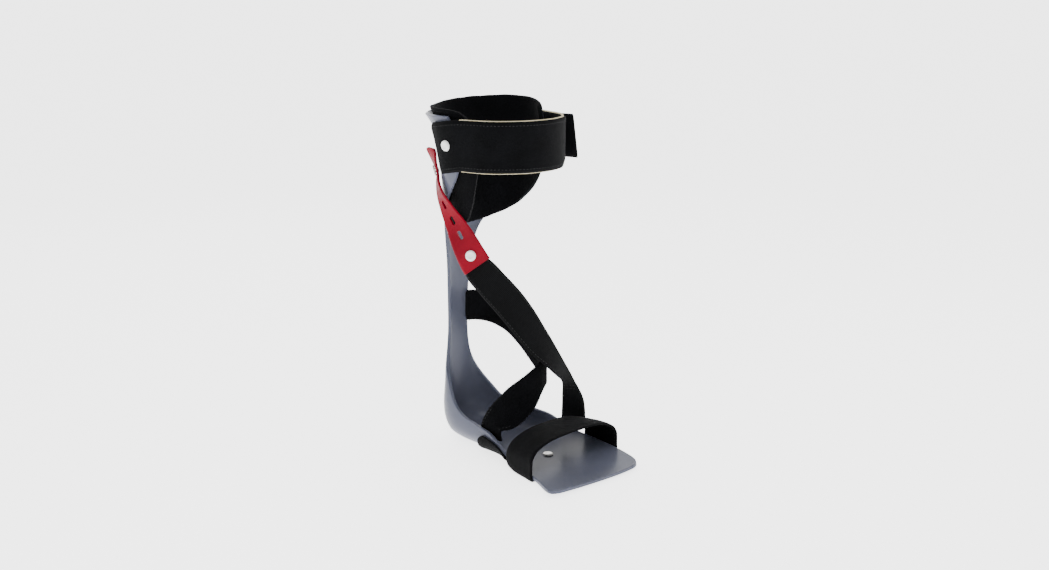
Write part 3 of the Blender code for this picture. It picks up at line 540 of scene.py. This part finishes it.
def round_end(rows, length, least):
    """Draw the strap's corners in over a length, so that its end is rounded."""
    result = [list(row) for row in rows]
    first = (rows[0][0] + rows[0][-1]) / 2
    for index, row in enumerate(rows):
        middle = (row[0] + row[-1]) / 2
        distance = (middle - first).length
        if distance >= length:
            break
        share = math.sqrt(max(1 - (1 - distance / length) ** 2, 0.0))
        keep = least + (1 - least) * share
        result[index] = [middle + (point - middle) * keep for point in row]
    return result


def row_normals(rows):
    """Unit normals of a grid of points."""
    last, end = len(rows) - 1, len(rows[0]) - 1
    normals = []
    for i, row in enumerate(rows):
        line = []
        for j in range(len(row)):
            along = rows[min(i + 1, last)][j] - rows[max(i - 1, 0)][j]
            across = row[min(j + 1, end)] - row[max(j - 1, 0)]
            line.append(along.cross(across).normalized())
        normals.append(line)
    return normals


def section_vertices(mesh, row, normals, thickness, edge):
    """Outer and inner vertices across a strap; the two meet where it thins out to nothing."""
    outer, inner = [], []
    for j, (point, normal) in enumerate(zip(row, normals)):
        off_middle = abs(2 * j / (len(row) - 1) - 1)
        half = thickness / 2 * max(1 - off_middle ** edge, 0.0) ** (1 / edge)
        outer.append(mesh.verts.new(point + normal * half))
        inner.append(outer[-1] if half < 1e-7 else mesh.verts.new(point - normal * half))
    return outer, inner


def strap_uvs(rows):
    """For each point its distance along the strap and across it."""
    last = len(rows[0]) - 1
    middle = len(rows[0]) // 2
    along = [0.0]
    for a, b in zip(rows[:-1], rows[1:]):
        along.append(along[-1] + (b[middle] - a[middle]).length)
    widths = [(row[-1] - row[0]).length for row in rows]
    return [[(run, width * (j / last - 0.5)) for j in range(last + 1)]
            for run, width in zip(along, widths)]


def add_face(mesh, layer, corners):
    """Face through (vertex, uv) corners; corners that share a vertex count once."""
    kept = list(dict(corners).items())
    if len(kept) < 3:
        return
    made = mesh.faces.new([vertex for vertex, _ in kept])
    for loop, (_, uv) in zip(made.loops, kept):
        loop[layer].uv = uv


def strap_mesh(name, rows, thickness, material, edge=7.0):
    """Strap of even thickness with soft edges; U runs along it and V across it, in metres."""
    mesh = bmesh.new()
    layer = mesh.loops.layers.uv.new("UVMap")
    sections = [section_vertices(mesh, row, line, thickness, edge)
                for row, line in zip(rows, row_normals(rows))]
    uvs = strap_uvs(rows)

    def corners(*places):
        return [(sections[i][side][j], uvs[i][j]) for side, i, j in places]

    for i in range(len(rows) - 1):
        for j in range(len(rows[0]) - 1):
            add_face(mesh, layer, corners((0, i, j), (0, i, j + 1),
                                          (0, i + 1, j + 1), (0, i + 1, j)))
            add_face(mesh, layer, corners((1, i, j), (1, i + 1, j),
                                          (1, i + 1, j + 1), (1, i, j + 1)))
    for i in (0, len(rows) - 1):
        for j in range(len(rows[0]) - 1):
            add_face(mesh, layer, corners((0, i, j), (0, i, j + 1), (1, i, j + 1), (1, i, j)))
    return link_mesh(name, mesh, material)


def line_on_rows(rows, share, outward):
    """Path along a strap at a share of its width, lifted off its surface."""
    normals = row_normals(rows)
    column = share * (len(rows[0]) - 1)
    low = min(int(column), len(rows[0]) - 2)
    mix = column - low
    return [(row[low].lerp(row[low + 1], mix) + line[low] * outward, line[low])
            for row, line in zip(rows, normals)]


def path_across(rows, index):
    """Path of (point, normal) across one row of a strap."""
    return list(zip(rows[index], row_normals(rows)[index]))


def stitches(name, path, material):
    """Row of thread stitches along a path of (point, normal)."""
    mesh = bmesh.new()
    travelled = THREAD_PITCH / 2
    size = Matrix.Diagonal((THREAD_LENGTH / 2, THREAD_RADIUS, THREAD_RADIUS, 1))
    for (a, normal), (b, _) in zip(path[:-1], path[1:]):
        step = (b - a).length
        while travelled < step:
            centre = a.lerp(b, travelled / step)
            along = (b - a).normalized()
            side = along.cross(normal).normalized()
            up = side.cross(along)
            turn = Matrix((along, side, up)).transposed().to_4x4()
            bmesh.ops.create_icosphere(mesh, subdivisions=1, radius=1.0,
                                       matrix=Matrix.Translation(centre) @ turn @ size)
            travelled += THREAD_PITCH
        travelled -= step
    return link_mesh(name, mesh, material)


def fibre(mesh, root, aim, side, normal, curve, reach, radius):
    """One loose thread: a thin three-sided horn from its root along its aim."""
    rings = []
    for step in range(4):
        share = step / 3
        centre = root + aim * reach * share + curve * reach * share * share
        width = radius * (1 - FIBRE_TAPER * share)
        rings.append([mesh.verts.new(centre + (side * math.cos(turn)
                                               + normal * math.sin(turn)) * width)
                      for turn in (2 * math.pi * k / 3 for k in range(3))])
    for low, high in zip(rings[:-1], rings[1:]):
        for k in range(3):
            mesh.faces.new((low[k], low[(k + 1) % 3], high[(k + 1) % 3], high[k]))
    mesh.faces.new(rings[0])
    mesh.faces.new(rings[-1])


def fibres(name, path, outward, kind, material, seed):
    """Loose threads that stand off an edge; path holds (point, normal) along the edge."""
    count, length, radius = kind
    draw = random.Random(seed)
    mesh = bmesh.new()
    for _ in range(count):
        where = draw.random() * (len(path) - 1)
        index = min(int(where), len(path) - 2)
        root, normal = path[index]
        root = root.lerp(path[index + 1][0], where - index)
        along = (path[index + 1][0] - path[index][0]).normalized()
        aim = (outward(root) + along * draw.uniform(-FIBRE_LEAN, FIBRE_LEAN)
               + normal * draw.uniform(-FIBRE_LIFT, FIBRE_LIFT)).normalized()
        curve = (along * draw.uniform(-1, 1) + normal * draw.uniform(-1, 1)) * FIBRE_CURL
        reach = length * draw.uniform(0.4, 1.0)
        side = aim.cross(normal).normalized()
        fibre(mesh, root, aim, side, normal, curve, reach, radius)
    return link_mesh(name, mesh, material)


def node_points(node):
    return np.array([vertex.co for vertex in NODES[node].data.vertices], float)


def disc_frame(node, outward):
    """Frame of a round CAD head: on its base, Z along its axis to the given side."""
    points = node_points(node)
    _, _, axes = np.linalg.svd(points - points.mean(0), full_matrices=False)
    spans = points @ axes.T
    middle = (spans.min(0) + spans.max(0)) / 2 @ axes
    normal = Vector(axes[2])
    height = float(np.ptp(spans[:, 2]))
    if normal.dot(Vector(outward)) < 0:
        normal = -normal
    frame_matrix = normal.to_track_quat("Z", "Y").to_matrix().to_4x4()
    frame_matrix.translation = Vector(middle) - normal * height / 2
    return frame_matrix, height


def turned(name, matrix, profile, material, segments=48):
    """Round piece from a profile of (radius, height), closed at both ends on its axis."""
    mesh = bmesh.new()
    rings = []
    for radius, height in profile:
        if radius == 0.0:
            rings.append([mesh.verts.new(matrix @ Vector((0, 0, height)))])
            continue
        rings.append([mesh.verts.new(matrix @ Vector((radius * math.cos(turn),
                                                      radius * math.sin(turn), height)))
                      for turn in (2 * math.pi * k / segments for k in range(segments))])
    for low, high in zip(rings[:-1], rings[1:]):
        for k in range(segments):
            corners = [low[k % len(low)], low[(k + 1) % len(low)],
                       high[(k + 1) % len(high)], high[k % len(high)]]
            mesh.faces.new(list(dict.fromkeys(corners)))
    return link_mesh(name, mesh, material)


def fit(item, body, slot, *nodes):
    """The piece rides on a body and stands for CAD nodes; its slot argument is not used."""
    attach(item, body)
    if nodes:
        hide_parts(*nodes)
    return item


def bend(item, body_a, body_b, start, end, slot, *nodes):
    """Bake the piece's placement into its mesh and let it stand for CAD nodes; body_a, body_b, start,
    end and slot are not used.
    """
    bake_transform(item)
    if nodes:
        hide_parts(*nodes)
    return item


# ---------------------------------------------------------------- shapes measured on CAD nodes

def tree_of(node):
    """Ray-cast tree of a CAD node."""
    points = [Vector(point) for point in node_points(node)]
    return BVHTree.FromPolygons(points, [tuple(p.vertices) for p in NODES[node].data.polygons])


def strap_levels(angle):
    """Lower and upper edge of the calf strap in metres."""
    drop = REAR_DROP * (1 - smooth_step(angle, DROP_FROM, DROP_TO))
    rise = FAR_RISE * smooth_step(angle, RISE_FROM, RISE_TO)
    return (STRAP_BOTTOM - drop + rise) * MM, (STRAP_TOP - drop) * MM


def strap_rear(share):
    """Angle of the riveted end at a share of the strap's height."""
    corner = max(0.0, (share - 0.85) / 0.15)
    return STRAP_REAR + REAR_SLANT * (1 - share) ** 1.6 + REAR_CORNER * corner ** 2


def axis_point(angle, radius, up):
    """Point at an angle and radius about the calf strap's upright axis."""
    turn = math.radians(angle)
    return Vector((-radius * math.sin(turn), STRAP_AXIS_Y + radius * math.cos(turn), up))


class StrapInside:
    """Radius of the calf strap's inside face, measured on the CAD strap."""

    LEVELS = 5

    def __init__(self):
        trees = [tree_of(n) for n in ("calf_strap_root", "calf_strap_lining")]
        self.angles = np.arange(STRAP_REAR + 14.0, STRAP_FAR - 0.5, 2.0)
        self.radii = [self.ring(trees, (level + 0.5) / self.LEVELS)
                      for level in range(self.LEVELS)]

    def ring(self, trees, share):
        """Radii at every angle for a share of the strap's height."""
        known, radii = [], []
        for angle in self.angles:
            low, high = strap_levels(angle)
            up = low + (high - low) * share
            aim = (axis_point(angle, 1.0, up) - axis_point(angle, 0.0, up)).normalized()
            hits = [tree.ray_cast(axis_point(angle, 0.0, up), aim)[3] for tree in trees]
            hits = [hit for hit in hits if hit]
            if hits:
                known.append(angle)
                radii.append(min(hits))
        values = np.interp(self.angles, known, radii)
        for _ in range(2):
            values[1:-1] = (values[:-2] + 2 * values[1:-1] + values[2:]) / 4
        return values

    def at(self, angle, share):
        """Radius at an angle and a share of the strap's height."""
        level = min(max(share * self.LEVELS - 0.5, 0.0), self.LEVELS - 1.0)
        low = min(int(level), self.LEVELS - 2)
        a, b = (float(np.interp(angle, self.angles, self.radii[low + k])) for k in (0, 1))
        return a + (b - a) * (level - low)


def strap_layer_rows(inside, layer, first, last, count=150, columns=16):
    """Rows of a calf strap layer's middle surface; first(share) is the angle where it starts."""
    depth, _, inset = layer
    rows = []
    for i in range(count + 1):
        row = []
        for c in range(columns + 1):
            share = c / columns
            angle = first(share) + (last - first(share)) * i / count
            low, high = strap_levels(angle)
            edge = inset * smooth_step(angle, 86.0, 100.0)
            up = low + edge + (high - low - 2 * edge) * share
            row.append(axis_point(angle, inside.at(angle, share) + depth, up))
        rows.append(row)
    return rows


def loop_rows(node, centre, lows, highs, steps, columns):
    """Middle surface of a closed CAD band around Y: rows go round it, columns along Y."""
    tree = tree_of(node)
    rows = []
    for i in range(steps + 1):
        turn = 2 * math.pi * i / steps - math.pi / 2
        aim = Vector((math.cos(turn), 0.0, math.sin(turn)))
        row = []
        for c in range(columns + 1):
            wanted = lows + (highs - lows) * c / columns
            y = min(max(wanted, lows + LOOP_MARGIN), highs - LOOP_MARGIN)
            start = Vector((centre[0], y, centre[1]))
            inner = tree.ray_cast(start, aim)[3]
            outer = tree.ray_cast(start + aim * LOOP_REACH, -aim)[3]
            reach = (inner + LOOP_REACH - outer) / 2
            row.append(Vector((centre[0] + aim.x * reach, wanted, centre[1] + aim.z * reach)))
        rows.append(row)
    return rows


# ---------------------------------------------------------------- pieces

def build_shell(material):
    shell = refined("shell", "shell_body", material, 1)
    return fit(shell, ROOT, "shell_plastic", "shell")


def build_liner(material):
    liner = refined("calf_liner", "calf_liner_cushion", material, 2)
    ripple(liner, 0.0005, 0.011, 3)
    fit(liner, "liner", "liner_fabric", "calf_liner")


def edge_stitches(name, rows, shares, outward, material):
    """Rows of stitches along a strap at shares of its width."""
    return [stitches("%s_stitches_%d" % (name, k), line_on_rows(rows, share, outward), material)
            for k, share in enumerate(shares)]


def build_calf_strap(fabric, foam, thread):
    """Lining, foam and face from the riveted end round the calf to the far side."""
    inside = StrapInside()
    lining_rows = strap_layer_rows(inside, LINING_LAYER, strap_rear, STRAP_FAR)
    lining = strap_mesh("lining", lining_rows, LINING_LAYER[1], fabric)
    foam_rows = strap_layer_rows(inside, FOAM_LAYER, lambda share: FOAM_START, STRAP_FAR - 0.2)
    core = strap_mesh("foam", foam_rows, FOAM_LAYER[1], foam, 9.0)
    face_rows = strap_layer_rows(inside, FACE_LAYER, strap_rear, STRAP_FAR)
    face = strap_mesh("face", face_rows, FACE_LAYER[1], fabric)
    root_rows = strap_layer_rows(inside, ROOT_LAYER, strap_rear, ROOT_END, 50)
    root = strap_mesh("root", root_rows, ROOT_LAYER[1], fabric)
    seams = edge_stitches("calf_strap", face_rows, (0.08, 0.92), FACE_THREAD, thread)
    strap = join("calf_strap", [face, lining, core, root] + seams)
    bend(strap, ROOT, "calf_strap", *CALF_BEND, "strap_fabric", "calf_strap_root",
         "calf_strap_lining", "calf_strap_foam", "calf_strap_face")
    return inside


def build_pull_tab(inside, fabric, thread):
    """Free end of the strap, lifted off the strap and pointing forward."""
    count, columns = 40, 14
    rows = []
    for i in range(count + 1):
        share = i / count
        row = []
        for c in range(columns + 1):
            rise = c / columns
            up = (TAB_BOTTOM + TAB_HEIGHT * rise) * MM
            radius = inside.at(TAB_ANGLE, rise) + STRAP_BUILD_UP + TAB_GAP
            tip = Vector((TAB_TIP_X, HEEL - (TAB_REACH - TAB_SLANT * rise) * MM, up))
            middle = axis_point(TAB_ANGLE, radius, up).lerp(tip, share)
            row.append(middle + TAB_BOW * math.sin(math.pi * share))
        rows.append(row)
    tab = strap_mesh("tab", rows, TAB_THICKNESS, fabric)
    cross = [[row[c] for row in rows] for c in range(columns + 1)]
    seams = edge_stitches("tab", cross, (0.06, 0.14), TAB_THREAD, thread)
    tab = join("pull_tab", [tab] + seams)
    bend(tab, "calf_strap", "pull_tab", *TAB_BEND, "strap_fabric", "calf_pull_tab")


def station_frame(rows, share):
    """Frame on a strap's middle line: Z off its outer face, Y along it."""
    index = int(round(share * (len(rows) - 1)))
    middle = len(rows[0]) // 2
    origin = rows[index][middle]
    along = (rows[index + 1][middle] - rows[index - 1][middle]).normalized()
    across = rows[index][-1] - rows[index][0]
    normal = along.cross(across).normalized()
    outside = origin - Vector((0.0, LEG_AXIS_Y, origin.z))
    if normal.dot(outside) < 0:
        normal = -normal
    turn = Matrix((along.cross(normal), along, normal)).transposed().to_4x4()
    turn.translation = origin
    return turn


def oblong(name, matrix, length, width, height):
    """Upright prism with round ends, its length along the frame's Y."""
    mesh = bmesh.new()
    outline = []
    reach = (length - width) / 2
    for k in range(24):
        turn = 2 * math.pi * (k + 0.5) / 24
        y = math.sin(turn) * width / 2 + math.copysign(reach, math.sin(turn))
        outline.append((math.cos(turn) * width / 2, y))
    low = [mesh.verts.new(matrix @ Vector((x, y, -height / 2))) for x, y in outline]
    high = [mesh.verts.new(matrix @ Vector((x, y, height / 2))) for x, y in outline]
    for k in range(24):
        mesh.faces.new((low[k], low[(k + 1) % 24], high[(k + 1) % 24], high[k]))
    mesh.faces.new(low[::-1])
    mesh.faces.new(high)
    return link_mesh(name, mesh, None)


def build_tension_strap(material):
    """Red strap: buttoned at the calf, with three spare slots below."""
    rows = round_end(ribbon_rows(TENSION, 200, 24), 0.005, 0.60)
    strap = strap_mesh("tension_strap_body", rows, WEBBING_THICKNESS, material, 6.0)
    cutters = []
    for share, length, width in SLOTS:
        cutter = oblong("slot_cutter", station_frame(rows, share), length, width, SLOT_DEPTH)
        cut = strap.modifiers.new("slot", "BOOLEAN")
        cut.solver = "EXACT"
        cut.object = cutter
        cutters.append(cutter)
    soften(strap, 0.0003, 2, 50, 45)
    for cutter in cutters:
        bpy.data.objects.remove(cutter)
    fit(strap, "tension_strap", "tension_rubber", "tension_strap")


def build_rivet(node, name, outward, slot, material):
    """Rivet head with a dished top and a raised ring."""
    matrix, height = disc_frame(node, outward)
    radius = head_radius(node, matrix)
    profile = [(radius * out, height * up) for out, up in RIVET_PROFILE]
    head = turned(name, matrix, smooth_profile(profile), material)
    return fit(head, ROOT, slot, node)


def head_radius(node, matrix):
    """Largest distance of a CAD head's points from its own axis."""
    inverse = matrix.inverted()
    return max((inverse @ Vector(point)).to_2d().length for point in node_points(node))


def smooth_profile(profile):
    """Two more points between each pair, on a smooth curve."""
    table = SmoothTable(range(len(profile)), profile)
    fine = [table.at(k / 3) for k in range(3 * (len(profile) - 1) + 1)]
    fine[0][0] = 0.0
    fine[-1][0] = 0.0
    return [(max(float(radius), 0.0), float(height)) for radius, height in fine]


def build_button(material):
    """Nickel T-button: shank and a rounded bar, finished from the CAD button."""
    button = refined("strap_button", "strap_button_plated", material, 0)
    soften(button, 0.00035, 3, 40, 50)
    return fit(button, ROOT, "rivet_steel", "strap_button")


def build_rein(fabric, thread):
    """Webbing from the rivet over the instep that turns down to the forefoot strap."""
    rows = ribbon_rows(REIN + BRANCH, 220, 20)
    rein = strap_mesh("rein_strap", rows, WEBBING_THICKNESS, fabric, 8.0)
    seams = edge_stitches("rein", rows, (0.07, 0.93), WEBBING_THREAD, thread)
    for index in (REIN_SEAM, REIN_SEAM + 5):
        lifted = [(point + normal * WEBBING_THREAD, normal)
                  for point, normal in path_across(rows, index)]
        seams.append(stitches("rein_seam_%d" % index, lifted, thread))
    rein = join("rein_strap", [rein] + seams)
    fit(rein, ROOT, "rein_webbing", "rein", "rein_branch")


def frayed(rows, name, fabric):
    """Loose loop threads along the free end and along both long edges near it."""
    column = len(rows[0]) // 2 - 1
    ahead = (rows[-1][column] - rows[-4][column]).normalized()
    middle = [row[len(row) // 2] for row in rows]
    normals = row_normals(rows)

    def sideways(root):
        nearest = min(middle, key=lambda point: (point - root).length)
        return (root - nearest).normalized()

    pieces = [fibres(name + "_end", path_across(rows, -1), lambda root: ahead, END_FIBRES,
                     fabric, 5)]
    for side, seed in ((0, 6), (-1, 7)):
        edge = [(row[side], line[side]) for row, line in zip(rows, normals)]
        pieces.append(fibres("%s_edge_%d" % (name, seed), edge, sideways, EDGE_FIBRES,
                             fabric, seed))
    return pieces


def build_ankle_straps(fabric, thread):
    """Far part from the leaf round the ankle, near part from the inside of the near wall."""
    rows = round_end(ribbon_rows(ANKLE_FAR, 120, 18), 0.002, 0.82)
    far = strap_mesh("ankle_strap_far", rows, WEBBING_THICKNESS, fabric)
    far = join("ankle_strap_far", [far] + frayed(rows, "far", fabric))
    fit(far, ROOT, "strap_fabric", "instep_strap_far")
    rows = ribbon_rows(ANKLE_NEAR, 110, 18)
    near = strap_mesh("ankle_strap_near", rows, WEBBING_THICKNESS, fabric)
    seams = edge_stitches("near", rows[12:30], (0.10, 0.90), WEBBING_THREAD, thread)
    anchor = refined("instep_anchor", "anchor", fabric, 1)
    near = join("ankle_strap_near", [near, anchor] + seams + frayed(rows, "near", fabric))
    bend(near, ROOT, "ankle_strap_near", *ANKLE_BEND, "strap_fabric", "instep_strap_near",
         "instep_anchor")


def build_forefoot_strap(fabric, thread):
    """Loop over the forefoot and under the sole, with its tail on the near wall."""
    low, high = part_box("forefoot_strap")
    centre = ((low[0] + high[0]) / 2, LOOP_CENTRE_UP)
    rows = loop_rows("forefoot_strap", centre, low[1], high[1], 150, 24)
    loop = strap_mesh("loop", rows, LOOP_THICKNESS, fabric)
    tail = refined("forefoot_strap_tail", "tail", fabric, 1)
    seams = edge_stitches("loop", rows, (0.06, 0.94), LOOP_THREAD, thread)
    strap = join("forefoot_strap_loop", [loop, tail] + seams)
    ripple(strap, 0.0002, 0.004, 8)
    fit(strap, ROOT, "strap_fabric", "forefoot_strap", "forefoot_strap_tail")


def build_floor():
    bpy.ops.mesh.primitive_plane_add(size=FLOOR_SIZE, location=(0, 0, -0.0001))
    floor = bpy.context.object
    floor.name = "floor"
    floor.data.materials.append(floor_material())


def dress_hidden(materials):
    """Small CAD pieces that stay as they are get their procedural material."""
    for node, material in materials.items():
        NODES[node].data.materials.clear()
        NODES[node].data.materials.append(material)


# ---------------------------------------------------------------- the scene

def main():
    place_camera()
    place_lights()
    build_floor()
    black = (0.0007, 0.0008, 0.0010)
    lifted = (0.0026, 0.0028, 0.0036)
    loop_fabric = knit_material("brushed_loop_fabric", black, lifted, 0.0007, 0.012)
    liner_fabric = knit_material("liner_knit", black, (0.0026, 0.0027, 0.0036), 0.0010, 0.01)
    webbing = webbing_material("rein_webbing", black, lifted, 0.0010, 0.012)
    thread = plastic_material("black_thread", (0.002, 0.002, 0.003), (0.005, 0.005, 0.006), 0.8)
    white = plastic_material("white_rivet_plastic", (0.74, 0.74, 0.72), (0.84, 0.84, 0.82), 0.38)
    metal = metal_material()
    build_shell(shell_material())
    build_liner(liner_fabric)
    inside = build_calf_strap(loop_fabric, foam_material(), thread)
    build_pull_tab(inside, loop_fabric, thread)
    build_tension_strap(rubber_material())
    build_button(metal)
    build_rein(webbing, thread)
    build_ankle_straps(loop_fabric, thread)
    build_forefoot_strap(loop_fabric, thread)
    head_materials = {"rivet_white": white, "rivet_steel": metal}
    for node, name, outward, slot in RIVETS:
        build_rivet(node, name, outward, slot, head_materials[slot])
    hook = knit_material("hook_tape", black, lifted, 0.0012, 0.0)
    dress_hidden({"hook_patch": hook, "calf_rivet_flange": white, "rein_rivet_washer": white})


main()
